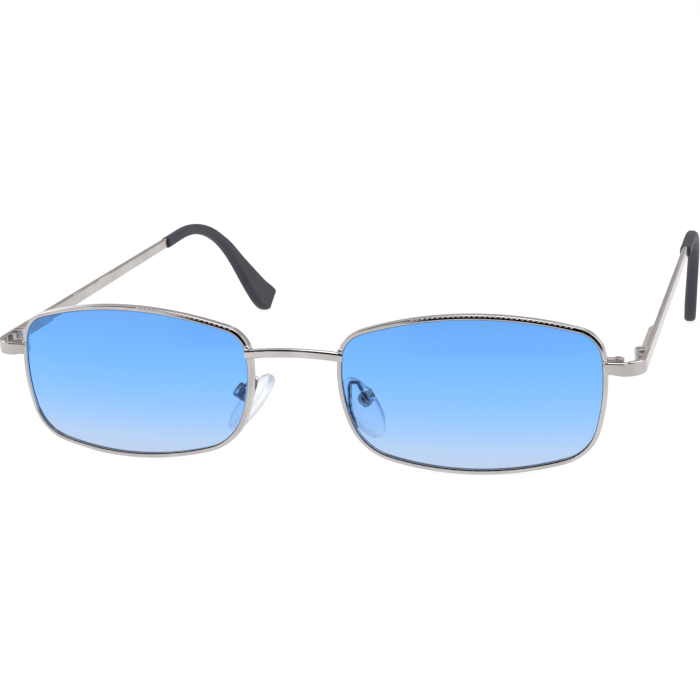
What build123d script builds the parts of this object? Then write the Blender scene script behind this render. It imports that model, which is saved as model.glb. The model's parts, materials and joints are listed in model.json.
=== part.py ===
from build123d import *
import math
import os

# Narrow rectangle sunglasses with wire rims, standing open on both rims and both temple tips.
# X runs across the front with the wearer's left at +X, Y runs back along the temples, Z is up.
# Lengths are in millimetres and angles in degrees. The left side is modelled and mirrored.

# Outline of the lens opening, seen square on, along the middle of the rim wire
lens_spacing = 70.0             # from one lens middle to the other
rim_line_width = 51.2
rim_line_height = 30.56
crown_offset = 0.93             # the top and bottom arcs crest this far to the temple side
widest_level = 3.2              # the opening is widest this far above its middle
top_arc_radius = 69.5
bottom_arc_radius = 70.9
temple_arc_radius = 37.1
nose_arc_radius = 25.9
top_temple_corner = 6.4
top_nose_corner = 6.2
bottom_nose_corner = 11.1
bottom_temple_corner = 8.9

# Bow and lean of the front
lens_curve_radius = 95.8
wrap_angle = 5.1                # each lens turns back at the temple side
lean_angle = 1.6                # the top of the front leans forward

# Rim wire, with the groove that the lens edge snaps into
rim_thickness = 1.0             # across the wire, in the plane of the lens
rim_depth = 1.7                 # front to back
rim_front_round = 0.28
rim_back_round = 0.2
groove_depth = 0.35
groove_width = 0.8
lens_thickness = 1.6
lens_bevel_width = 0.7
lens_fit = 0.03                 # all round the lens edge

# Bridge, a flat bar bent in one arc and notched over both rims
bridge_height = 1.85
bridge_depth = 1.3
bridge_round = 0.5
bridge_level = 6.55             # ends of the bar above the lens middle
bridge_rise = 0.7
bridge_bow = 0.5                # the middle stands this far in front of the ends
bridge_setback = 0.55           # bar middle in front of the rim wire's middle
bridge_overlap = 0.85           # past the middle of the rim wire

# Side line of the temples, from which the hinges and end pieces are set out
side_level = 4.6                # height of the side plane above the lens middle, at the front
side_rise = 4.76                # the side plane climbs towards the back
hinge_reach = 5.05              # hinge axis beyond the rim wire
hinge_back = 13.55              # hinge axis behind the lens plane
toe_in = 2.54                   # the temples close in towards the back

# End piece, a strip from the rim round to the hinge
strip_thickness = 1.15
strip_height = 2.9              # at the hinge
strip_round = 0.35
end_piece_height = 2.45         # at the rim
end_piece_slope = -2.0          # from square to the temple, positive towards the back
end_piece_bend = 3.4            # radius of the strip's middle
end_piece_forward = 0.25        # strip middle in front of the rim wire's middle
shoulder_run = 1.6              # the top edge climbs over this length of the bend

# Hinge of three knuckles let into the strips, with a slotted screw as its pin
knuckle_radius = 1.3
knuckle_clearance = 0.06        # round the knuckles that turn past a strip
strip_inset = 0.5               # inside of the strips from the hinge axis
barrel_height = 3.1
middle_knuckle = 1.06
knuckle_gap = 0.07
butt_gap = 0.06                 # between end piece and open temple
leaf_thickness = 0.7
leaf_height = 2.3
leaf_start = 1.6                # both leaves start this far from the axis
front_leaf_length = 1.5
temple_leaf_length = 14.6
leaf_taper = 1.8                # the back end of the temple leaf runs out over this length
hinge_screw_radius = 0.5
hinge_head_radius = 0.85
hinge_head_height = 0.45
running_fit = 0.03
thread_fit = 0.01
slot_width = 0.28
slot_depth = 0.2

# Closing block, two halves that draw the split rim together with a screw
split_level = 0.7               # above the side line
split_gap = 0.1
block_length = 3.2
block_depth = 1.9
upper_block_height = 0.75
lower_block_height = 1.8
upper_block_setback = 0.1       # keeps the upper half free of the end piece
closing_screw_radius = 0.45
closing_head_radius = 0.75
closing_head_height = 0.25
closing_screw_place = 2.2       # along the block from the middle of the rim wire

# Temple strip and the wire core that the tip is pressed on
temple_strip_length = 75.0      # hinge axis to the mouth of the tip
strip_end_height = 2.3
core_radius = 0.55
core_overlap = 1.0              # core let into the end of the strip
core_end = 8.0                  # left solid beyond the core
core_fit = 0.02

# Temple tip, bent down behind the ear
tip_straight = 9.0
ear_bend_radius = 33.1
ear_bend_angle = 52.1
ear_lean = 7.4                  # the bent part leans in towards the head
tip_twist = 7.2                 # and the back edge of the paddle turns in
tip_trial_run = 24.1            # straight end of the tip, before it is set to reach the ground
tip_height = 7.7                # of the paddle, where it is tallest
tip_width = 2.9
tip_corner_share = 0.4          # corner radius of a section as a share of its width
tip_end_round = 0.8
tip_shape_shares = [            # at even steps: reach of front edge, of back edge; width
    (0.18, 0.16, 0.83), (0.18, 0.16, 0.84), (0.18, 0.16, 0.855), (0.18, 0.16, 0.87),
    (0.18, 0.16, 0.89), (0.19, 0.165, 0.905), (0.205, 0.17, 0.92), (0.235, 0.22, 0.94),
    (0.27, 0.28, 0.96), (0.34, 0.37, 0.98), (0.4, 0.465, 1.0), (0.41, 0.585, 1.0),
    (0.125, 0.705, 1.0),
]

# Nose pads on bent wire arms
pad_pivot_reach = 3.4           # pad screw outside the nose side of the rim wire
pad_pivot_back = 6.2
pad_pivot_level = -2.7          # from the lens middle
pad_splay = 37.0                # the bearing face turns from the side towards the back
pad_flare = 37.0                # the pad's long axis leans out at the bottom
pad_lean = 17.0                 # and back at the top
pad_length = 13.6
pad_width = 6.8
pad_thickness = 1.9
pad_face_round = 0.7
pad_back_round = 0.5
pad_drop = 0.8                  # middle of the pad below its pivot
pad_stand = 1.6                 # back of the pad from its pivot
pad_lug_radius = 0.9
pad_lug_width = 1.3
pad_neck_height = 1.2
pad_box_wall = 0.45
pad_box_height = 3.2
pad_box_front = 1.0             # rim of the box from the pivot, towards the pad
pad_box_back = 1.65             # outside of the box's floor from the pivot
pad_box_fit = 0.08              # beside the lug
pad_box_corner = 0.9
pad_box_round = 0.35            # round its floor
pad_screw_radius = 0.35
pad_head_radius = 0.75
pad_head_height = 0.4
arm_radius = 0.45
arm_root_level = -8.0           # where the arm leaves the rim
arm_root_run = 1.4              # straight back from the middle of the rim wire
arm_knee_reach = 1.1            # knee and loop outside the nose side of the rim wire
arm_knee_back = 2.9
arm_knee_level = -3.9
arm_loop_nose_reach = 0.35      # the arm loops over at the top
arm_loop_outer_reach = 1.85
arm_loop_nose_back = 5.6
arm_loop_outer_back = 6.1
arm_loop_level = 0.55
arm_root_bend = 0.6
arm_knee_bend = 3.0
arm_loop_bend = 0.65

overrun = 1.0                   # how far cutting shapes run past what they cut

front_frame = (
    Rot(lean_angle, 0, 0) * Pos(lens_spacing / 2, 0, 0) * Rot(0, 0, wrap_angle) * Rot(90, 0, 0)
)
nose_side = (lens_spacing - rim_line_width) / 2
temple_side = (lens_spacing + rim_line_width) / 2
side_frame = Pos(0, 0, side_level) * Rot(side_rise, 0, 0)
hinge_frame = side_frame * Pos(temple_side + hinge_reach, hinge_back, 0) * Rot(0, 0, toe_in)
strip_offset = strip_inset + strip_thickness / 2


# Small helpers
def box_between(low, high):
    size = [b - a for a, b in zip(low, high)]
    middle = [(a + b) / 2 for a, b in zip(low, high)]
    return Pos(*middle) * Box(*size)


def rod(radius, low, high):
    """Upright cylinder between two levels."""
    return Pos(0, 0, (low + high) / 2) * Cylinder(radius, high - low)


def slotted_head(radius, low, high):
    """Round screw head with a straight slot across its top."""
    head = rod(radius, low, high)
    head = fillet(head.edges().sort_by(Axis.Z)[-1], slot_depth / 2)
    return head - box_between(
        (-radius, -slot_width / 2, high - slot_depth), (radius, slot_width / 2, high + overrun)
    )


# Curved shells and outlines that the rim and the lens share
def end_lobe(radius, side, inset):
    """Disc that rounds one end of the opening, run on straight towards the other end."""
    reach = radius - inset
    shape = Circle(reach) + Pos(-side * reach, 0) * Rectangle(2 * reach, 2 * reach)
    return Pos(side * (rim_line_width / 2 - radius), widest_level) * shape


def rim_outline(inset):
    """Opening along the middle of the rim wire, every arc moved inwards by inset."""
    half_height = rim_line_height / 2
    top = Pos(crown_offset, half_height - top_arc_radius) * Circle(top_arc_radius - inset)
    bottom = Pos(crown_offset, bottom_arc_radius - half_height) * Circle(bottom_arc_radius - inset)
    shape = top & bottom & end_lobe(nose_arc_radius, -1, inset) & end_lobe(temple_arc_radius, 1, inset)
    corners = [
        (1, 1, top_temple_corner), (-1, 1, top_nose_corner),
        (-1, -1, bottom_nose_corner), (1, -1, bottom_temple_corner),
    ]
    for side, upper, radius in corners:
        corner = [v for v in shape.vertices() if v.X * side > 0 and v.Y * upper > 0]
        shape = fillet(corner, radius - inset)
    return shape


def lens_shell(depth):
    """Shell of this depth about the curved middle surface of the lens."""
    ball = Sphere(lens_curve_radius + depth / 2) - Sphere(lens_curve_radius - depth / 2)
    return Pos(0, 0, -lens_curve_radius) * Rot(90, 0, 0) * ball


def prism(inset):
    """Straight block inside the rim outline, long enough for the whole curve."""
    return extrude(rim_outline(inset), amount=rim_line_height, both=True)


def curved_plate(inset, depth):
    return prism(inset) & lens_shell(depth)


def on_lens(across, up, behind=0):
    """Point behind the middle surface of the left lens."""
    dip = math.sqrt(lens_curve_radius ** 2 - across ** 2 - up ** 2) - lens_curve_radius
    return (front_frame * Pos(across, up, dip - behind)).position


def edges_at(solid, radius):
    """Edges of a curved plate that lie on the ball of this radius."""
    centre = Vector(0, 0, -lens_curve_radius)
    near = rim_back_round / 10
    return [
        e for e in solid.edges()
        if all(abs((e @ share - centre).length - radius) < near for share in (0, 0.5, 1))
    ]


# Place of the rim wire's middle at the end piece, seen from the hinge
root = (hinge_frame.inverse() * Pos(on_lens(rim_line_width / 2, side_level))).position
run_frame = hinge_frame * Pos(root.X, root.Y, 0) * Rot(0, 0, end_piece_slope)


# Rim, lens and bridge
def make_rim_blank():
    """Rim wire with rounded edges, before the groove and the split."""
    blank = curved_plate(-rim_thickness / 2, rim_depth) - prism(rim_thickness / 2)
    blank = fillet(edges_at(blank, lens_curve_radius + rim_depth / 2), rim_front_round)
    blank = fillet(edges_at(blank, lens_curve_radius - rim_depth / 2), rim_back_round)
    return front_frame * blank


def make_rim(blank):
    """Rim with its groove, cut through beside the closing block."""
    groove = curved_plate(rim_thickness / 2 - groove_depth, groove_width)
    slit = box_between(
        (-block_length, -rim_depth, split_level - split_gap / 2),
        (block_length, rim_depth, split_level + split_gap / 2),
    )
    return blank - front_frame * groove - run_frame * slit


def make_lens():
    plate = curved_plate(rim_thickness / 2 + lens_fit, lens_thickness)
    bevel = curved_plate(rim_thickness / 2 - groove_depth + lens_fit, lens_bevel_width)
    return front_frame * (plate + bevel)


def make_bridge(blank):
    """Flat bar across the nose, notched where it laps over the rims."""
    end = on_lens(-rim_line_width / 2, bridge_level)
    reach = end.X + bridge_overlap
    forward = end.Y - bridge_setback
    path = ThreePointArc(
        (reach, forward, end.Z),
        (0, forward - bridge_bow, end.Z + bridge_rise),
        (-reach, forward, end.Z),
    )
    section = Plane(path @ 0, x_dir=(0, 1, 0), z_dir=path % 0) * Rectangle(bridge_depth, bridge_height)
    bar = sweep(section, path)
    ends = bar.faces().sort_by(Axis.X)
    end_edges = ends[0].edges() + ends[-1].edges()
    bar = fillet([e for e in bar.edges() if e not in end_edges], bridge_round)
    notch = blank + front_frame * curved_plate(0, rim_depth)
    return bar - notch - mirror(notch, about=Plane.YZ)


# End piece, in the frame of the hinge: axis up, Y back along the temple
def end_piece_path():
    start = (Pos(root.X, root.Y) * Rot(0, 0, end_piece_slope) * Pos(0, -end_piece_forward)).position
    climb = math.tan(math.radians(end_piece_slope))
    corner = (strip_offset, start.Y + (strip_offset - start.X) * climb)
    return FilletPolyline(start, corner, (strip_offset, -butt_gap / 2), radius=end_piece_bend)


def bent_strip(height):
    """Strip of this height with rounded edges."""
    path = end_piece_path()
    plane = Plane(path @ 0, x_dir=(0, 0, 1), z_dir=path % 0)
    return sweep(plane * RectangleRounded(height, strip_thickness, strip_round), path)


def make_end_piece(blank):
    """Strip from the rim to the hinge, growing to full height along its bottom and in its bend."""
    full = strip_height / 2
    slim = end_piece_height / 2 - strip_round
    bend_start = (end_piece_path().edges()[0] @ 1).X
    beyond = root.X - overrun
    waste = Polyline(
        (beyond, full + overrun), (bend_start + shoulder_run, full + overrun),
        (bend_start + shoulder_run, full), (bend_start, slim), (bend_start, -slim), (root.X, -slim),
        (bend_start, -full), (bend_start, -full - overrun), (beyond, -full - overrun), close=True,
    )
    tall = bent_strip(strip_height) - extrude(Plane.XZ * make_face(waste), amount=hinge_back, both=True)
    middle = middle_knuckle / 2 + knuckle_gap
    barrel = rod(knuckle_radius, -strip_height, strip_height)
    barrel += rod(knuckle_radius + knuckle_clearance, -middle, middle)
    return hinge_frame * (bent_strip(end_piece_height) + tall - barrel) - blank


# Closing block, behind the end piece: X along the block from the rim wire, Y back
def make_closing_block(blank):
    front = strip_thickness / 2 - end_piece_forward
    back = front + block_depth
    lower_top = split_level - split_gap / 2
    lower_low = lower_top - lower_block_height
    upper_low = split_level + split_gap / 2
    upper_top = upper_low + upper_block_height
    upper_front = front + upper_block_setback
    lower = box_between((0, front, lower_low), (block_length, back, lower_top))
    upper = box_between((0, upper_front, upper_low), (block_length, back, upper_top))
    place = Pos(closing_screw_place, (upper_front + back) / 2, 0)
    lower -= place * rod(closing_screw_radius + thread_fit, lower_low, lower_top)
    upper -= place * rod(closing_screw_radius + running_fit, upper_low, upper_top)
    screw = rod(closing_screw_radius, lower_low, upper_top)
    screw += slotted_head(closing_head_radius, upper_top, upper_top + closing_head_height)
    return {
        "closing_block_lower": run_frame * lower - hinge_frame * bent_strip(strip_height) - blank,
        "closing_block_upper": run_frame * upper - blank,
        "closing_screw": run_frame * place * screw,
    }


# Hinge, in its own frame
def make_hinge():
    top = barrel_height / 2
    middle = middle_knuckle / 2
    leaf = leaf_height / 2
    leaf_side = strip_inset - leaf_thickness
    front = box_between(
        (leaf_side, -leaf_start - front_leaf_length, -leaf), (strip_inset, -leaf_start, leaf)
    )
    front -= bent_strip(strip_height)
    for low, high in ((-top, -middle - knuckle_gap), (middle + knuckle_gap, top)):
        front += rod(knuckle_radius, low, high)
        front += box_between((leaf_side, -leaf_start, max(low, -leaf)), (strip_inset, 0, min(high, leaf)))
    seat = top - hinge_head_height
    front -= rod(hinge_screw_radius + thread_fit, -top, top)
    front -= rod(hinge_head_radius + running_fit, seat, top)
    leaf_end = leaf_start + temple_leaf_length
    outline = Polyline(
        (leaf_side, leaf_start), (strip_inset, leaf_start), (strip_inset, leaf_end),
        (leaf_side, leaf_end - leaf_taper), close=True,
    )
    back = rod(knuckle_radius, -middle, middle)
    back += box_between((leaf_side, 0, -middle), (strip_inset, leaf_start, middle))
    back += extrude(make_face(outline), amount=leaf, both=True)
    back -= rod(hinge_screw_radius + running_fit, -middle, middle)
    screw = rod(hinge_screw_radius, -top, seat) + slotted_head(hinge_head_radius, seat, top)
    return {
        "hinge_front": hinge_frame * front,
        "hinge_temple": hinge_frame * back,
        "hinge_screw": hinge_frame * screw,
    }


# Temple tip: its middle line lies in a plane that leans in, X back along the temple and Y up
tip_plane = (
    hinge_frame * Pos(strip_offset, temple_strip_length, 0) * Rot(0, ear_lean, 0)
    * Plane(origin=(0, 0, 0), x_dir=(0, 1, 0), z_dir=(1, 0, 0)).location
)
down_x = math.cos(math.radians(ear_bend_angle))
down_y = -math.sin(math.radians(ear_bend_angle))


def tip_point(along, up, aside=0):
    return (tip_plane * Pos(along, up, aside)).position


def tip_path(start, run):
    bend = CenterArc((tip_straight, -ear_bend_radius), ear_bend_radius, 90, -ear_bend_angle)
    end = bend @ 1
    return Wire([
        Line((start, 0), (tip_straight, 0)), bend, Line(end, end + Vector(down_x, down_y) * run)
    ])


def make_sleeve(run):
    """Sleeve that starts as slim as the strip and ends in a flat paddle, turned in at its back edge."""
    path = tip_path(0, run)
    sections = []
    steps = len(tip_shape_shares) - 1
    for index, (front_share, back_share, width_share) in enumerate(tip_shape_shares):
        place = index / steps
        height = tip_height * (front_share + back_share)
        width = tip_width * width_share
        plane = Plane(path @ place, x_dir=(0, 0, 1), z_dir=path % place)
        shift = tip_height * (front_share - back_share) / 2
        section = Pos(0, shift) * RectangleRounded(width, height, width * tip_corner_share)
        sections.append((plane * Rot(0, 0, -tip_twist * place) * section).face())
    sleeve = loft(sections)
    end = sleeve.faces().sort_by(lambda f: (f.center() - path @ 1).length)[0]
    return tip_plane * fillet(end.edges(), tip_end_round)


def end_run():
    """Straight run that stands the end of the tip on the ground with the rims."""
    floor = on_lens(crown_offset, -(rim_line_height + rim_thickness) / 2).Z
    fall = tip_point(0, 0).Z - tip_point(down_x, down_y).Z
    lowest = make_sleeve(tip_trial_run).bounding_box().min.Z
    return tip_trial_run + (lowest - floor) / fall


tip_run = end_run()


def make_tip_core(radius, start):
    path = tip_path(start, tip_run - core_end)
    return tip_plane * sweep(Plane(path @ 0, z_dir=path % 0) * Circle(radius), path)


def make_temple():
    """Flat strip that thins towards the tip, and the wire core inside the tip."""
    sections = [
        Pos(strip_offset, along, 0) * (Plane.XZ * Rectangle(strip_thickness, height))
        for along, height in ((butt_gap / 2, strip_height), (temple_strip_length, strip_end_height))
    ]
    strip = loft([section.face() for section in sections], ruled=True)
    long_edges = strip.edges().sort_by(lambda e: e.length)[-4:]
    middle = middle_knuckle / 2
    strip = fillet(long_edges, strip_round) - rod(knuckle_radius, -middle, middle)
    for low, high in ((-strip_height, -middle), (middle, strip_height)):
        strip -= rod(knuckle_radius + knuckle_clearance, low, high)
    return hinge_frame * strip + make_tip_core(core_radius, -core_overlap)


# Nose pad. Its frame sits on the screw: X along the screw, Y up the pad, Z out of the bearing face
def pad_location():
    splay, flare, lean = (math.radians(a) for a in (pad_splay, pad_flare, pad_lean))
    up = Vector(-math.sin(flare) * math.cos(lean), math.sin(lean), math.cos(flare) * math.cos(lean))
    out = Vector(-math.cos(splay), math.sin(splay), 0)
    out -= up * out.dot(up)
    pivot = (nose_side + pad_pivot_reach, pad_pivot_back, pad_pivot_level)
    return Plane(origin=pivot, x_dir=up.cross(out), z_dir=out).location


def make_pad(blank):
    frame = pad_location()
    lug_side = pad_lug_width / 2
    turned = Rot(0, 90, 0)
    # soft plate with its lug
    plate = extrude(Ellipse(pad_width / 2, pad_length / 2), amount=pad_thickness)
    plate = fillet(plate.edges().sort_by(Axis.Z)[-1], pad_face_round)
    plate = fillet(plate.edges().sort_by(Axis.Z)[0], pad_back_round)
    pad = Pos(0, -pad_drop, pad_stand) * plate
    pad += box_between((-lug_side, -pad_neck_height / 2, 0), (lug_side, pad_neck_height / 2, pad_stand))
    pad += turned * rod(pad_lug_radius, -lug_side, lug_side)
    pad -= turned * rod(pad_screw_radius + running_fit, -lug_side, lug_side)
    # box that holds the lug
    inside = lug_side + pad_box_fit
    outside = inside + pad_box_wall
    half = pad_box_height / 2
    shell = box_between((-outside, -half, -pad_box_back), (outside, half, pad_box_front))
    shell = fillet(shell.edges().filter_by(Axis.Z), pad_box_corner)
    shell = fillet(shell.faces().sort_by(Axis.Z)[0].edges(), pad_box_round)
    box = shell - box_between(
        (-inside, pad_box_wall - half, pad_box_wall - pad_box_back),
        (inside, half - pad_box_wall, pad_box_front + overrun),
    )
    box -= turned * rod(pad_screw_radius + thread_fit, -outside, outside)
    screw = rod(pad_screw_radius, -outside, outside)
    screw += slotted_head(pad_head_radius, outside, outside + pad_head_height)
    return {
        "nose_pad": frame * pad,
        "pad_box": frame * box,
        "pad_screw": frame * turned * screw,
        "pad_arm": make_arm() - blank - frame * shell,
    }


def make_arm():
    """Bent wire from the back of the rim, up, over and down into the pad box."""
    opening = Line((-rim_line_width, arm_root_level), (0, arm_root_level)) & rim_outline(0)
    across = opening.vertices().sort_by(Axis.X)[0].X
    path = FilletPolyline(
        on_lens(across, arm_root_level),
        on_lens(across, arm_root_level, arm_root_run),
        (nose_side + arm_knee_reach, arm_knee_back, arm_knee_level),
        (nose_side + arm_loop_nose_reach, arm_loop_nose_back, arm_loop_level),
        (nose_side + arm_loop_outer_reach, arm_loop_outer_back, arm_loop_level),
        (nose_side + pad_pivot_reach, pad_pivot_back, pad_pivot_level),
        radius=[arm_root_bend, arm_knee_bend, arm_loop_bend, arm_loop_bend],
    )
    return sweep(Plane(path @ 0, z_dir=path % 0) * Circle(arm_radius), path)


def make_left_side(blank):
    pieces = {
        "rim": make_rim(blank),
        "lens": make_lens(),
        "end_piece": make_end_piece(blank),
        "temple": make_temple(),
        "temple_tip": make_sleeve(tip_run) - make_tip_core(core_radius + core_fit, 0),
    }
    for group in (make_closing_block(blank), make_hinge(), make_pad(blank)):
        pieces.update(group)
    return pieces


rim_blank = make_rim_blank()
pieces = {"bridge": make_bridge(rim_blank)}
for name, solid in make_left_side(rim_blank).items():
    pieces[name + "_left"] = solid
    pieces[name + "_right"] = mirror(solid, about=Plane.YZ)

# The glasses stand on the ground, midway between front and back
boxes = [solid.bounding_box() for solid in pieces.values()]
ground = min(box.min.Z for box in boxes)
halfway = (min(box.min.Y for box in boxes) + max(box.max.Y for box in boxes)) / 2
os.makedirs("parts", exist_ok=True)
for name, solid in pieces.items():
    export_step(Pos(0, -halfway, -ground) * solid, f"parts/{name}.step")
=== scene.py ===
import bmesh
import bpy
import json
import math
from mathutils import Matrix, Vector


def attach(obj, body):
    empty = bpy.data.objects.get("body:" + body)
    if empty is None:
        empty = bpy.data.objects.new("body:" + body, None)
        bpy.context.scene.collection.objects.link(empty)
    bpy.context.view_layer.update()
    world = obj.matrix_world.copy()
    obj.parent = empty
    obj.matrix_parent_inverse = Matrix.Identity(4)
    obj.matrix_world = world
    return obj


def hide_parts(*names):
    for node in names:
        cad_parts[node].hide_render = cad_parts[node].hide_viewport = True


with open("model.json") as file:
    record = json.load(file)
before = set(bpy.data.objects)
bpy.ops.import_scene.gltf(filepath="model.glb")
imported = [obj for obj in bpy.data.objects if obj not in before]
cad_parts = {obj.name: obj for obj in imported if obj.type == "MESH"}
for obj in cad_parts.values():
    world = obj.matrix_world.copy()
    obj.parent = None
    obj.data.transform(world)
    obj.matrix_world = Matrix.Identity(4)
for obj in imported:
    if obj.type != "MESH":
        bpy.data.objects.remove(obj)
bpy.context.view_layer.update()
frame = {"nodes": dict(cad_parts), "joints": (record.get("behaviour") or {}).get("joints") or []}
nodes = frame["nodes"]
bpy.ops.object.select_all(action="DESELECT")

# Narrow rectangle sunglasses with wire rims. X runs across the front with the wearer's left at
# +X, Y runs back along the temples and Z is up. The object is in metres; MM turns the sizes
# below, which are in millimetres where nothing else is said, into metres.
MM = 0.001
SIDES = {"left": 1, "right": -1}    # the wearer's sides, and the sign of X there

# Sizes shared with the solids
LENS_SPACING = 70.0
LENS_CURVE_RADIUS = 95.8
WRAP = math.radians(5.1)            # each lens turns back at the temple side
LEAN = math.radians(1.6)            # the top of the front leans forward
CROWN_OFFSET = 0.93                 # middle of the top arc from that of the lens, outwards
RIM_HALF_HEIGHT = 15.28
TOP_ARC_RADIUS = 69.5
RIM_THICKNESS = 1.0
RIM_DEPTH = 1.7
HINGE_SIDE = 65.65                  # hinge axis from the middle of the front
HINGE_BACK = 13.5033                # behind the lens plane
HINGE_LEVEL = 5.7244                # above the middle of the lenses


def joint_place(name):
    return Vector(next(joint["pos_m"] for joint in frame["joints"] if joint["name"] == name))


# The middle of the front, level with the middle of the lenses, found from the hinges
hinge = joint_place("left_temple_fold")
middle = hinge - Vector((HINGE_SIDE, HINGE_BACK, HINGE_LEVEL)) * MM


def add_object(name, data):
    made = bpy.data.objects.new(name, data)
    bpy.context.scene.collection.objects.link(made)
    return made


# Camera, set out from the point midway between the hinges, in metres and radians
CAMERA_PLACE = (0.124940, -0.359282, 0.088781)
CAMERA_HEADING = 0.316294176        # from straight back, towards the wearer's right
CAMERA_DIP = 0.232556999
CAMERA_ROLL = -0.0419409464
CAMERA_NEAR = 0.01                  # nothing nearer is shown
FOCAL_LENGTH = 100.1037             # in millimetres, as is the sensor
SENSOR_WIDTH = 36


def add_camera():
    look = Vector((
        -math.sin(CAMERA_HEADING) * math.cos(CAMERA_DIP),
        math.cos(CAMERA_HEADING) * math.cos(CAMERA_DIP),
        -math.sin(CAMERA_DIP),
    ))
    across = Vector((math.cos(CAMERA_HEADING), math.sin(CAMERA_HEADING), 0))
    up = across.cross(look)
    right = across * math.cos(CAMERA_ROLL) + up * math.sin(CAMERA_ROLL)
    top = up * math.cos(CAMERA_ROLL) - across * math.sin(CAMERA_ROLL)
    place = Vector((0, hinge.y, hinge.z)) + Vector(CAMERA_PLACE)
    data = bpy.data.cameras.new("camera")
    data.sensor_width = SENSOR_WIDTH
    data.lens = FOCAL_LENGTH
    data.clip_start = CAMERA_NEAR
    camera = add_object("camera", data)
    camera.matrix_world = Matrix((
        (right.x, top.x, -look.x, place.x),
        (right.y, top.y, -look.y, place.y),
        (right.z, top.z, -look.z, place.z),
        (0, 0, 0, 1),
    ))
    bpy.context.scene.camera = camera


add_camera()
bpy.context.scene.view_settings.view_transform = "Standard"


# Helpers for materials
WHITE = (1, 1, 1, 1)


def colour(code):
    """Linear colour of an sRGB hex value."""
    parts = [int(code[i:i + 2], 16) / 255 for i in (1, 3, 5)]
    linear = [p / 12.92 if p <= 0.04045 else ((p + 0.055) / 1.055) ** 2.4 for p in parts]
    return (*linear, 1)


def per(size):
    """Scale of a pattern whose features are this many millimetres apart."""
    return 1 / (size * MM)


def node(tree, kind, inputs=(), stops=(), **settings):
    """Adds a node with its settings, its ramp stops, and its inputs as values or as links."""
    new = tree.nodes.new(kind)
    for key, value in settings.items():
        setattr(new, key, value)
    if stops:
        elements = new.color_ramp.elements
        while len(elements) < len(stops):
            elements.new(1)
        for element, (place, code) in zip(elements, stops):
            element.position = place
            element.color = colour(code)
    for key, value in dict(inputs).items():
        if isinstance(value, bpy.types.NodeSocket):
            tree.links.new(value, new.inputs[key])
        else:
            new.inputs[key].default_value = value
    return new


def new_tree(name):
    material = bpy.data.materials.new(name)
    material.use_nodes = True
    material.node_tree.nodes.clear()
    return material, material.node_tree


def tint_shadow(tree, shader, shade):
    """Ends the material of a clear part, whose shadow only takes the part's shade."""
    clear = node(tree, "ShaderNodeBsdfTransparent", {"Color": shade})
    shadow = node(tree, "ShaderNodeLightPath").outputs["Is Shadow Ray"]
    mixed = node(tree, "ShaderNodeMixShader", {
        0: shadow, 1: shader.outputs["BSDF"], 2: clear.outputs["BSDF"],
    })
    node(tree, "ShaderNodeOutputMaterial", {"Surface": mixed.outputs["Shader"]})


def seen_share(tree):
    """One where the camera sees it, directly, in gloss or through a clear part, and else zero."""
    paths = node(tree, "ShaderNodeLightPath").outputs
    seen = paths["Is Camera Ray"]
    for way in ("Is Glossy Ray", "Is Transmission Ray"):
        seen = node(
            tree, "ShaderNodeMath", {0: seen, 1: paths[way]}, operation="MAXIMUM"
        ).outputs["Value"]
    return seen


# Patterns of the metals. The lines and marks are finer on the real metal, and are drawn as
# coarse as they need to be to show.
PLATING_CLOUDS = 7                  # slow drift of the plating's shade
PAINTED_REFLECTION_PATCHES = 1.2               # painted reflections: small patches of a pale and a dark shade on the pad cups and arms
HANDLING_HAZE = 1.6
POLISHING_LINES = 0.12
TURNING_MARKS = 0.1
CUTTER_MARKS = 0.2
LINE_DEPTH = 0.01
LINE_STRENGTH = 0.12
LINE_STRETCH = 0.04                 # scale of the pattern along the lines


def plated_metal(
    name, light, dark, polish, lines=None, line_size=POLISHING_LINES, cloud_size=PLATING_CLOUDS
):
    """Plated metal. polish is its least and most roughness, lines the way its lines run."""
    material, tree = new_tree(name)
    place = node(tree, "ShaderNodeTexCoord").outputs["Object"]
    clouds = node(tree, "ShaderNodeTexNoise", {
        "Vector": place, "Scale": per(cloud_size), "Detail": 4.0,
    })
    shade = node(
        tree, "ShaderNodeValToRGB", {"Fac": clouds.outputs["Fac"]},
        stops=[(0.35, dark), (0.65, light)],
    )
    haze = node(tree, "ShaderNodeTexNoise", {
        "Vector": place, "Scale": per(HANDLING_HAZE), "Detail": 3.0,
    })
    rough = node(tree, "ShaderNodeMapRange", {
        "Value": haze.outputs["Fac"], "From Min": 0.3, "From Max": 0.7,
        "To Min": polish[0], "To Max": polish[1],
    })
    drawn = node(tree, "ShaderNodeMapping", {
        "Vector": place, "Scale": [LINE_STRETCH if axis == lines else 1 for axis in "XYZ"],
    })
    grain = node(tree, "ShaderNodeTexNoise", {
        "Vector": drawn.outputs["Vector"], "Scale": per(line_size), "Detail": 2.0,
    })
    bump = node(tree, "ShaderNodeBump", {
        "Height": grain.outputs["Fac"], "Strength": LINE_STRENGTH, "Distance": LINE_DEPTH * MM,
    })
    shader = node(tree, "ShaderNodeBsdfPrincipled", {
        "Base Color": shade.outputs["Color"], "Metallic": 1.0,
        "Roughness": rough.outputs["Result"], "Normal": bump.outputs["Normal"],
    })
    node(tree, "ShaderNodeOutputMaterial", {"Surface": shader.outputs["BSDF"]})
    return material


# Nickel silver wire, nickel plated and tumble polished: bright, faintly warm, almost a mirror,
# with a soft haze where it has been handled.
polished_wire = plated_metal("polished_nickel_wire", "#CAC6C5", "#BAB6B5", (0.06, 0.12))

# Nickel silver strip, rolled, plated and buffed along its length: the same metal, a little
# softer, with fine lines that run along the temple.
buffed_strip = plated_metal("buffed_nickel_strip", "#C8C3C1", "#B7B1AF", (0.16, 0.26), lines="Y")

# The same strip at the end pieces, left as it was rolled on its faces: a little darker, with
# lines that run across the front.
rolled_strip = plated_metal("rolled_nickel_strip", "#C2BDBB", "#B2ADAB", (0.14, 0.24), lines="X")
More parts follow.
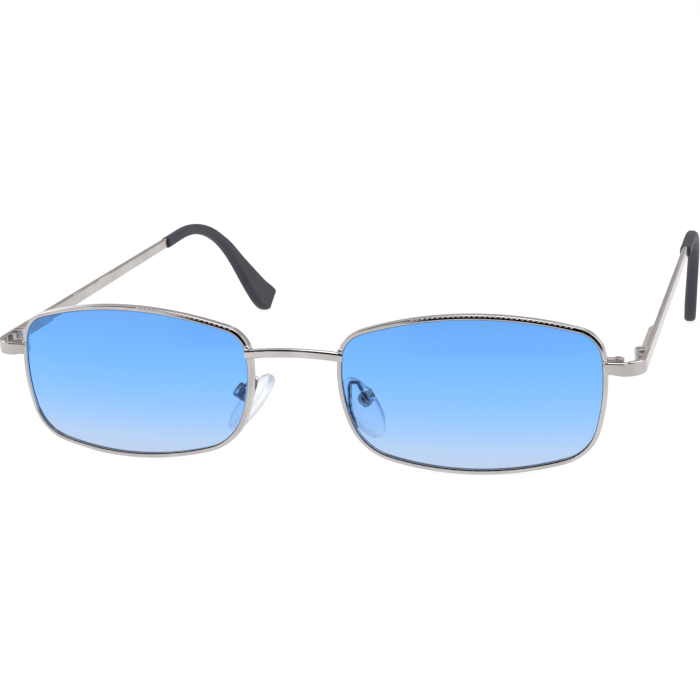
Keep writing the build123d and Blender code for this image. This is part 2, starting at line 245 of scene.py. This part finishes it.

# Milled nickel silver hinge and closing block, plated over the cutter marks, and dull. Its shade
# is paler than the wire's: painted light, to make up for the grey wall that its faces mirror.
milled_block = plated_metal(
    "milled_nickel_block", "#D2CCCA", "#BDB7B5", (0.36, 0.48), lines="X", line_size=CUTTER_MARKS
)

# Pad cup and wire arm, drawn from the same metal and bright plated: sharper than the rims.
# Their base colour is painted reflection: small patches of a pale and a dark shade, darker than
# the rims on the whole, stand in for the light and dark surroundings that the cups mirror.
painted_reflection_plate = plated_metal(
    "bright_plated_nickel", "#C4BFBD", "#5E5A5C", (0.03, 0.07), cloud_size=PAINTED_REFLECTION_PATCHES
)

# Turned stainless steel screws, barrel polished: sharper than the hinge, with turning marks.
turned_steel = plated_metal(
    "turned_steel", "#CCC9C8", "#AFACAB", (0.16, 0.26), line_size=TURNING_MARKS
)

# Dye of the lenses, by height from the foot of the rim to its top
LENS_DYE = [
    (0.03, "#BFD2EB"), (0.14, "#B4CEEF"), (0.24, "#A3C9F6"), (0.37, "#91C3FF"),
    (0.5, "#84BEFF"), (0.65, "#77B8FF"), (0.82, "#70B1FF"), (0.97, "#6DABF2"),
]
COAT_CLOUDS = 9                     # faint unevenness of the hard coat


def tinted_lens(name):
    """Plastic dyed by lowering it into the bath: deep at the top and pale at the bottom."""
    material, tree = new_tree(name)
    place = node(tree, "ShaderNodeTexCoord").outputs["Object"]
    height = node(tree, "ShaderNodeSeparateXYZ", {"Vector": place}).outputs["Z"]
    reach = RIM_HALF_HEIGHT * MM
    level = node(tree, "ShaderNodeMapRange", {
        "Value": height, "From Min": middle.z - reach, "From Max": middle.z + reach,
    })
    tint = node(
        tree, "ShaderNodeValToRGB", {"Fac": level.outputs["Result"]}, stops=LENS_DYE
    ).outputs["Color"]
    clouds = node(tree, "ShaderNodeTexNoise", {
        "Vector": place, "Scale": per(COAT_CLOUDS), "Detail": 2.0,
    })
    rough = node(tree, "ShaderNodeMapRange", {
        "Value": clouds.outputs["Fac"], "To Min": 0.0, "To Max": 0.012,
    })
    glass = node(tree, "ShaderNodeBsdfPrincipled", {
        "Base Color": tint, "Roughness": rough.outputs["Result"], "IOR": 1.25,
        "Transmission Weight": 1.0,
    })
    tint_shadow(tree, glass, tint)
    return material


# Injection moulded polycarbonate with a blue gradient dye and a hard coat: clear and smooth. A
# coat takes most of the reflections away, so the index here is lower than the plastic's own.
dyed_lens = tinted_lens("dyed_polycarbonate")


def moulded_skin(tree, dark, light, polish, clouds, detail, grain, depth, strength):
    """Shader inputs of a moulded surface, whose shade and roughness drift in clouds over a
    grain. The real grain is finer, and is drawn as coarse as it needs to be to show."""
    place = node(tree, "ShaderNodeTexCoord").outputs["Object"]
    drift = node(tree, "ShaderNodeTexNoise", {
        "Vector": place, "Scale": per(clouds), "Detail": detail,
    }).outputs["Fac"]
    shade = node(tree, "ShaderNodeValToRGB", {"Fac": drift}, stops=[(0.3, dark), (0.7, light)])
    rough = node(tree, "ShaderNodeMapRange", {
        "Value": drift, "To Min": polish[0], "To Max": polish[1],
    })
    grains = node(tree, "ShaderNodeTexNoise", {
        "Vector": place, "Scale": per(grain), "Detail": 2.0,
    })
    bump = node(tree, "ShaderNodeBump", {
        "Height": grains.outputs["Fac"], "Strength": strength, "Distance": depth * MM,
    })
    return {
        "Base Color": shade.outputs["Color"], "Roughness": rough.outputs["Result"],
        "Normal": bump.outputs["Normal"],
    }


def moulded_silicone(name):
    material, tree = new_tree(name)
    skin = moulded_skin(
        tree, "#F2F3F5", "#FBFCFD", polish=(0.35, 0.5), clouds=2.5, detail=3.0,
        grain=0.4, depth=0.03, strength=0.15,
    )
    rubber = node(tree, "ShaderNodeBsdfPrincipled", {
        **skin, "IOR": 1.41, "Transmission Weight": 1.0,
    })
    tint_shadow(tree, rubber, skin["Base Color"])
    return material


# Moulded silicone rubber: clear and colourless, softly frosted, with a smooth skin.
clear_silicone = moulded_silicone("clear_silicone")


def moulded_sleeve(name):
    material, tree = new_tree(name)
    skin = moulded_skin(
        tree, "#35323B", "#403D47", polish=(0.48, 0.6), clouds=6, detail=4.0,
        grain=0.25, depth=0.02, strength=0.2,
    )
    plastic = node(tree, "ShaderNodeBsdfPrincipled", {
        **skin, "IOR": 1.49, "Specular IOR Level": 0.3,
    })
    node(tree, "ShaderNodeOutputMaterial", {"Surface": plastic.outputs["BSDF"]})
    return material


# Moulded nylon sleeve with a satin mould finish: dark grey, with a broad soft sheen.
satin_nylon = moulded_sleeve("satin_nylon")

finishes = {
    "rim": polished_wire, "bridge": polished_wire, "pad_arm": painted_reflection_plate,
    "pad_box": painted_reflection_plate, "end_piece": rolled_strip, "temple": buffed_strip,
    "temple_tip": satin_nylon, "lens": dyed_lens, "nose_pad": clear_silicone,
    "closing_block_lower": milled_block, "closing_block_upper": milled_block,
    "hinge_front": milled_block, "hinge_temple": milled_block, "hinge_screw": turned_steel,
    "closing_screw": turned_steel, "pad_screw": turned_steel,
}
for node_name, solid in nodes.items():
    kind = node_name.removesuffix("_left").removesuffix("_right")
    solid.data.materials.clear()
    solid.data.materials.append(finishes[kind])


# Helpers for new pieces
SMOOTH_ANGLE = math.radians(50)     # faces that meet at less are shaded as one
FACING = 0.99                       # least part of its normal along the way a face looks


def lens_point(across, up, ahead):
    """Point ahead of the middle surface of a lens, in millimetres from the lens middle."""
    dip = math.sqrt(LENS_CURVE_RADIUS ** 2 - across ** 2 - up ** 2) - LENS_CURVE_RADIUS
    return Vector((across, up, dip + ahead))


def front_matrix(side):
    """From the plane of a lens to the object; Z there points forwards. side is 1 or -1."""
    turn = (
        Matrix.Rotation(LEAN, 4, "X") @ Matrix.Translation((LENS_SPACING / 2, 0, 0))
        @ Matrix.Rotation(WRAP, 4, "Z") @ Matrix.Rotation(math.pi / 2, 4, "X")
    )
    return Matrix.Translation(middle) @ Matrix.Diagonal((side * MM, MM, MM, 1)) @ turn


def select(piece, test):
    """Selects the faces of the piece in edit mode that the test picks."""
    mesh = bmesh.from_edit_mesh(piece.data)
    for face in mesh.faces:
        face.select_set(test(face))
    mesh.select_flush_mode()
    bmesh.update_edit_mesh(piece.data)


def step_in(steps):
    """Insets the selected face by each step's width, and moves it by the step's rise."""
    for width, rise in steps:
        bpy.ops.mesh.inset(thickness=width)
        bpy.ops.transform.translate(value=(0, 0, rise))


def apply_modifier(piece, kind, **settings):
    bpy.context.view_layer.objects.active = piece
    modifier = piece.modifiers.new(kind.lower(), kind)
    for key, value in settings.items():
        setattr(modifier, key, value)
    bpy.ops.object.modifier_apply(modifier=modifier.name)


def combine(piece, other, operation):
    """Adds the other to the piece, or cuts it out of the piece, and uses it up."""
    apply_modifier(piece, "BOOLEAN", operation=operation, object=other, solver="EXACT")
    bpy.data.objects.remove(other)


def join(pieces):
    bpy.ops.object.select_all(action="DESELECT")
    for piece in pieces:
        piece.select_set(True)
    bpy.context.view_layer.objects.active = pieces[0]
    bpy.ops.object.join()
    return pieces[0]


def settle(piece, name, matrix, finish, body):
    """Puts the piece in its place in the mesh, with its finish, on the body that carries it."""
    bpy.context.view_layer.objects.active = piece
    piece.data.transform(matrix @ piece.matrix_world)
    piece.matrix_world = Matrix.Identity(4)
    bpy.ops.object.select_all(action="DESELECT")
    piece.select_set(True)
    bpy.ops.object.mode_set(mode="EDIT")
    bpy.ops.mesh.select_all(action="SELECT")
    bpy.ops.mesh.normals_make_consistent(inside=False)
    bpy.ops.object.mode_set(mode="OBJECT")
    bpy.ops.object.shade_smooth_by_angle(angle=SMOOTH_ANGLE)
    piece.select_set(False)
    piece.name = piece.data.name = name
    piece.data.materials.clear()
    piece.data.materials.append(finish)
    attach(piece, body)


# Milgrain: a row of small beads rolled along the top front edge of each rim
BEAD_PITCH = 1.0
BEAD_RADIUS = 0.19
BEAD_STRETCH = 1.9                  # along the rim
BEAD_INSET = 0.2                    # below the top of the rim
BEAD_SETBACK = 0.06                 # behind the front of the rim


def bead_place(across):
    """Middle of a bead, in the plane of the lens."""
    outer = TOP_ARC_RADIUS + RIM_THICKNESS / 2 - BEAD_INSET
    up = RIM_HALF_HEIGHT - TOP_ARC_RADIUS + math.sqrt(outer ** 2 - (across - CROWN_OFFSET) ** 2)
    front = LENS_CURVE_RADIUS + RIM_DEPTH / 2 - BEAD_SETBACK
    ahead = math.sqrt(front ** 2 - across ** 2 - up ** 2) - LENS_CURVE_RADIUS
    return Vector((across, up, ahead))


def make_bead_row(name, side, start, end):
    """Beads from one place to another across from the lens middle."""
    bpy.ops.mesh.primitive_uv_sphere_add(segments=12, ring_count=8, radius=BEAD_RADIUS)
    bead = bpy.context.object
    bpy.ops.object.mode_set(mode="EDIT")
    bpy.ops.transform.resize(value=(BEAD_STRETCH, 1, 1))
    bpy.ops.object.mode_set(mode="OBJECT")
    row = []
    for index in range(round((end - start) / BEAD_PITCH) + 1):
        across = start + index * BEAD_PITCH
        slope = -math.asin((across - CROWN_OFFSET) / TOP_ARC_RADIUS)
        copy = add_object(f"{name}_{index}", bead.data.copy())
        copy.data.transform(
            Matrix.Translation(bead_place(across)) @ Matrix.Rotation(slope, 4, "Z")
        )
        row.append(copy)
    bpy.data.objects.remove(bead)
    settle(join(row), name, front_matrix(side), polished_wire, "front")


make_bead_row("bead_row_left", SIDES["left"], start=-10.5, end=19)
make_bead_row("bead_row_right", SIDES["right"], start=-22, end=-3)


# Solder: a run round the root of each pad arm, and drops where the bridge and the end pieces
# cross the front of the rims. Each is drawn up ring by ring from a foot sunk in the rim.
ARM_FILLET_RINGS = [                # height above the rim, and radius
    (0.05, 0.8), (0.12, 0.68), (0.22, 0.58), (0.36, 0.51), (0.52, 0.47), (0.6, 0.44),
]
DROP_RINGS = [(0.0, 0.6), (0.12, 0.55), (0.22, 0.43), (0.29, 0.26), (0.31, 0.08)]
SOLDER_FOOT = 0.25                  # depth of the foot
ARM_ROOT = (-22.99, -8.0)           # places across and up from the lens middle
BRIDGE_CROSSING = (-25.2, 7.85)
END_PIECE_CROSSING = (25.5, 6.3)


def make_solder(name, side, place, rings, squash, turn, behind=False):
    """Solder on the rim. squash scales the rings two ways, turned by so many degrees, and the
    height."""
    height, radius = -SOLDER_FOOT, rings[0][1]
    bpy.ops.mesh.primitive_circle_add(
        vertices=24, radius=radius, fill_type="NGON", location=(0, 0, height)
    )
    drop = bpy.context.object
    bpy.ops.object.transform_apply(location=True)
    bpy.ops.object.mode_set(mode="EDIT")
    bpy.ops.mesh.select_all(action="SELECT")
    for next_height, next_radius in rings:
        bpy.ops.mesh.extrude_region_move(
            TRANSFORM_OT_translate={"value": (0, 0, next_height - height)}
        )
        share = next_radius / radius
        bpy.ops.transform.resize(value=(share, share, 1))
        height, radius = next_height, next_radius
    bpy.ops.object.mode_set(mode="OBJECT")
    apply_modifier(drop, "SUBSURF", levels=1, render_levels=1)
    way, half_turn = (-1, math.pi) if behind else (1, 0)
    matrix = (
        front_matrix(side) @ Matrix.Translation(lens_point(*place, way * RIM_DEPTH / 2))
        @ Matrix.Rotation(math.radians(turn), 4, "Z") @ Matrix.Rotation(half_turn, 4, "X")
        @ Matrix.Diagonal((*squash, 1))
    )
    settle(drop, name, matrix, polished_wire, "front")


for side_name, side in SIDES.items():
    make_solder(
        f"arm_solder_{side_name}", side, ARM_ROOT, ARM_FILLET_RINGS,
        squash=(0.62, 1, 1), turn=20, behind=True,
    )
    make_solder(
        f"bridge_solder_{side_name}", side, BRIDGE_CROSSING, DROP_RINGS,
        squash=(1.15, 0.95, 1.4), turn=-8,
    )
    make_solder(
        f"end_solder_{side_name}", side, END_PIECE_CROSSING, DROP_RINGS,
        squash=(1.0, 0.6, 1.0), turn=5,
    )


# Nose pads, moulded in silicone with a dished back and a lug that goes into the box. A step in
# from the edge of a face is its width and its rise.
PAD_LENGTH = 13.6
PAD_WIDTH = 6.8
PAD_THICKNESS = 1.9
PAD_DROP = 0.8                      # middle of the pad below the screw
PAD_STAND = 1.6                     # back of the pad from the screw
PAD_EDGE_ROUND = 0.55
PAD_SWELL_STEPS = ((0.9, 0.12), (1.0, 0.1))
PAD_DISH_STEPS = ((0.75, 0.25), (0.5, 0.2))
PAD_VOXEL = 0.11
PAD_SPLAY = math.radians(37)        # the bearing face turns from the side towards the back
PAD_FLARE = math.radians(37)        # the pad's long axis leans out at the bottom
PAD_LEAN = math.radians(17)         # and back at the top
LUG_RADIUS = 0.9
LUG_WIDTH = 1.3
LUG_SINK = 0.3                      # end of the lug inside the pad
LUG_FLARE = (1.3, 1.4, 0.3)         # and its size there against the tongue's
BORE_RADIUS = 0.38


def pad_matrix(side):
    """From a pad's own place, on its screw, to the object: Y up the pad, Z out of its face."""
    up = Vector((
        -math.sin(PAD_FLARE) * math.cos(PAD_LEAN),
        math.sin(PAD_LEAN),
        math.cos(PAD_FLARE) * math.cos(PAD_LEAN),
    ))
    out = Vector((-math.cos(PAD_SPLAY), math.sin(PAD_SPLAY), 0))
    out = (out - up * out.dot(up)).normalized()
    turn = Matrix((up.cross(out), up, out)).transposed().to_4x4()
    return (
        Matrix.Diagonal((side, 1, 1, 1)) @ Matrix.Translation(joint_place("left_pad_rock"))
        @ turn @ Matrix.Diagonal((MM, MM, MM, 1))
    )


def add_screw_bar(radius, length):
    """Round bar along a pad's screw."""
    bpy.ops.mesh.primitive_cylinder_add(vertices=32, radius=radius, depth=length)
    bpy.ops.object.mode_set(mode="EDIT")
    bpy.ops.transform.rotate(value=math.pi / 2, orient_axis="Y", center_override=(0, 0, 0))
    bpy.ops.object.mode_set(mode="OBJECT")
    return bpy.context.object


def make_lug():
    """Rounded tongue on the screw that flares into the back of the pad."""
    lug = add_screw_bar(LUG_RADIUS, LUG_WIDTH)
    end = PAD_STAND + LUG_SINK
    bpy.ops.object.mode_set(mode="EDIT")
    select(lug, lambda face: face.normal.z > 0.75 and abs(face.normal.x) < 0.1)
    bpy.ops.mesh.extrude_region_move(TRANSFORM_OT_translate={"value": (0, 0, end - LUG_RADIUS)})
    bpy.ops.transform.resize(value=LUG_FLARE, center_override=(0, 0, end))
    bpy.ops.object.mode_set(mode="OBJECT")
    return lug


def make_pad(name, side, body, replaced):
    bpy.ops.mesh.primitive_cylinder_add(
        vertices=40, radius=1, depth=PAD_THICKNESS,
        location=(0, -PAD_DROP, PAD_STAND + PAD_THICKNESS / 2),
    )
    pad = bpy.context.object
    bpy.ops.object.transform_apply(location=True)
    bpy.ops.object.mode_set(mode="EDIT")
    bpy.ops.transform.resize(
        value=(PAD_WIDTH / 2, PAD_LENGTH / 2, 1), center_override=(0, -PAD_DROP, 0)
    )
    # the edge is rounded, the bearing face swells and the back is dished
    bpy.ops.mesh.bevel(offset=PAD_EDGE_ROUND, segments=4, affect="EDGES")
    for way, steps in ((1, PAD_SWELL_STEPS), (-1, PAD_DISH_STEPS)):
        select(pad, lambda face: face.normal.z * way > FACING and len(face.verts) > 8)
        step_in(steps)
    bpy.ops.object.mode_set(mode="OBJECT")
    combine(pad, make_lug(), "UNION")
    apply_modifier(pad, "REMESH", mode="VOXEL", voxel_size=PAD_VOXEL)
    apply_modifier(pad, "SMOOTH", factor=0.5, iterations=6)
    combine(pad, add_screw_bar(BORE_RADIUS, LUG_WIDTH * 2), "DIFFERENCE")
    settle(pad, name, pad_matrix(side), clear_silicone, body)
    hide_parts(replaced)


# Pad boxes, as cups pressed from sheet
CUP_WIDTH = 2.36
CUP_HEIGHT = 3.2
CUP_FRONT = 1.0                     # edge of the cup from the screw, towards the pad
CUP_BACK = 1.65
CUP_WALL = 0.42
CUP_CORNER = 1.05
CUP_ROLL = 0.1                      # each flank of the rolled edge is this wide
CUP_ROLL_RISE = 0.06
CUP_DOME_STEPS = ((0.12, -0.02), (0.3, -0.1), (0.3, -0.03))
CUP_EDGE_STEPS = (
    (CUP_ROLL, CUP_ROLL_RISE), (CUP_WALL - 2 * CUP_ROLL, 0), (CUP_ROLL, -CUP_ROLL_RISE)
)


def make_cup(name, side, replaced):
    """Cup with a domed floor and a rolled edge."""
    bpy.ops.mesh.primitive_cube_add(size=1)
    cup = bpy.context.object
    bpy.ops.object.mode_set(mode="EDIT")
    bpy.ops.transform.resize(value=(CUP_WIDTH, CUP_HEIGHT, CUP_FRONT + CUP_BACK))
    bpy.ops.transform.translate(value=(0, 0, (CUP_FRONT - CUP_BACK) / 2))
    bpy.ops.mesh.select_mode(type="EDGE")
    mesh = bmesh.from_edit_mesh(cup.data)
    for edge in mesh.edges:
        edge.select_set(abs(edge.verts[0].co.z - edge.verts[1].co.z) > CUP_BACK)
    bmesh.update_edit_mesh(cup.data)
    bpy.ops.mesh.bevel(offset=CUP_CORNER, segments=4, affect="EDGES")
    bpy.ops.mesh.select_mode(type="FACE")
    select(cup, lambda face: face.normal.z < -FACING)
    step_in(CUP_DOME_STEPS)
    select(cup, lambda face: face.normal.z > FACING)
    step_in(CUP_EDGE_STEPS)
    bpy.ops.mesh.extrude_region_move(
        TRANSFORM_OT_translate={"value": (0, 0, CUP_WALL - CUP_FRONT - CUP_BACK)}
    )
    bpy.ops.object.mode_set(mode="OBJECT")
    apply_modifier(cup, "SUBSURF", levels=2, render_levels=2)
    settle(cup, name, pad_matrix(side), painted_reflection_plate, "front")
    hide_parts(replaced)


for side_name, side in SIDES.items():
    make_cup(f"pressed_cup_{side_name}", side, f"pad_box_{side_name}")
for side_name, side in SIDES.items():
    make_pad(
        f"moulded_pad_{side_name}", side, f"{side_name}_nose_pad", f"nose_pad_{side_name}"
    )


# Floor, studio light and the white sweep that the metal and the lenses show
FLOOR_SIZE = 4                      # metres
FLOOR_AHEAD = 0.25                  # metres of floor in front of the glasses
FLOOR_GLOW = 1.12
FLOOR_GLOW_SHARE = 0.78             # the rest is the lit sheet, with the object's shadow
ROOM_LIGHT = 0.6

# What bright metal mirrors besides white: places by heading from straight ahead, positive to
# the wearer's left, and by height, in degrees, with the width of the soft edge and the shade
MIRRORED_PLACES = [
    ((-180, -115), (4, 50), 6, "#C4BFBD"),  # grey wall behind
    ((115, 180), (4, 50), 6, "#C4BFBD"),
    ((-64, -14), (2, 62), 6, "#2A1E1B"),    # dark room in front, a little brown at one side
    ((-24, 56), (-40, 70), 10, "#120D0B"),
]

# Place and size in metres, and power in watts; left and right are the camera's
LAMPS = [
    ("overhead_box", (0.1, -0.1, 0.7), 0.6, 2.2),
    ("left_box", (-0.6, -0.1, 0.35), 0.4, 0.7),
    ("right_box", (0.6, 0.0, 0.35), 0.4, 0.7),
]


def add_floor():
    bpy.ops.mesh.primitive_plane_add(
        size=FLOOR_SIZE, location=(0, FLOOR_SIZE / 2 - FLOOR_AHEAD, 0)
    )
    floor = bpy.context.object
    bpy.ops.object.transform_apply(location=True)
    floor.name = "floor"
    # Matt white acrylic sheet: it mirrors the glasses very faintly where they touch it
    material, tree = new_tree("white_sweep")
    share = node(
        tree, "ShaderNodeMath", {0: seen_share(tree), 1: FLOOR_GLOW_SHARE}, operation="MULTIPLY"
    )
    sheet = node(tree, "ShaderNodeBsdfPrincipled", {
        "Base Color": colour("#F2F2F2"), "Roughness": 0.3,
    })
    glow = node(tree, "ShaderNodeEmission", {"Color": WHITE, "Strength": FLOOR_GLOW})
    mixed = node(tree, "ShaderNodeMixShader", {
        0: share.outputs["Value"], 1: sheet.outputs["BSDF"], 2: glow.outputs["Emission"],
    })
    node(tree, "ShaderNodeOutputMaterial", {"Surface": mixed.outputs["Shader"]})
    floor.data.materials.append(material)


def add_world():
    """Even soft light, white to the eye. Metal mirrors a dark room in front, a wall behind."""
    world = bpy.data.worlds.new("studio")
    bpy.context.scene.world = world
    world.use_nodes = True
    tree = world.node_tree
    tree.nodes.clear()

    def window(value, low, high, soft):
        """One between the limits and nothing outside them, in degrees."""
        rise = node(tree, "ShaderNodeMapRange", {
            "Value": value, "From Min": math.radians(low), "From Max": math.radians(low + soft),
        })
        fall = node(tree, "ShaderNodeMapRange", {
            "Value": value, "From Min": math.radians(high), "From Max": math.radians(high - soft),
        })
        return node(
            tree, "ShaderNodeMath", {0: rise.outputs["Result"], 1: fall.outputs["Result"]},
            operation="MULTIPLY",
        ).outputs["Value"]

    way = node(tree, "ShaderNodeTexCoord").outputs["Generated"]
    parts = node(tree, "ShaderNodeSeparateXYZ", {"Vector": way}).outputs
    ahead = node(tree, "ShaderNodeMath", {0: parts["Y"], 1: -1.0}, operation="MULTIPLY")
    heading = node(
        tree, "ShaderNodeMath", {0: parts["X"], 1: ahead.outputs["Value"]}, operation="ARCTAN2"
    ).outputs["Value"]
    height = node(tree, "ShaderNodeMath", {0: parts["Z"]}, operation="ARCSINE").outputs["Value"]
    shades = WHITE
    for headings, heights, soft, shade in MIRRORED_PLACES:
        share = node(tree, "ShaderNodeMath", {
            0: window(heading, *headings, soft), 1: window(height, *heights, soft),
        }, operation="MULTIPLY")
        shades = node(tree, "ShaderNodeMixRGB", {
            "Fac": share.outputs["Value"], "Color1": shades, "Color2": colour(shade),
        }).outputs["Color"]
    mirrored = node(tree, "ShaderNodeLightPath").outputs["Glossy Depth"]
    shown = node(tree, "ShaderNodeMixRGB", {"Fac": mirrored, "Color1": WHITE, "Color2": shades})
    light = node(tree, "ShaderNodeBackground", {"Color": WHITE, "Strength": ROOM_LIGHT})
    sweep = node(tree, "ShaderNodeBackground", {"Color": shown.outputs["Color"], "Strength": 1.0})
    mixed = node(tree, "ShaderNodeMixShader", {
        0: seen_share(tree), 1: light.outputs["Background"], 2: sweep.outputs["Background"],
    })
    node(tree, "ShaderNodeOutputWorld", {"Surface": mixed.outputs["Shader"]})


def add_lamps():
    for name, place, size, power in LAMPS:
        data = bpy.data.lights.new(name, "AREA")
        data.shape = "SQUARE"
        data.size = size
        data.energy = power
        lamp = add_object(name, data)
        lamp.location = place
        lamp.rotation_euler = (middle - Vector(place)).to_track_quat("-Z", "Y").to_euler()


add_floor()
add_world()
add_lamps()
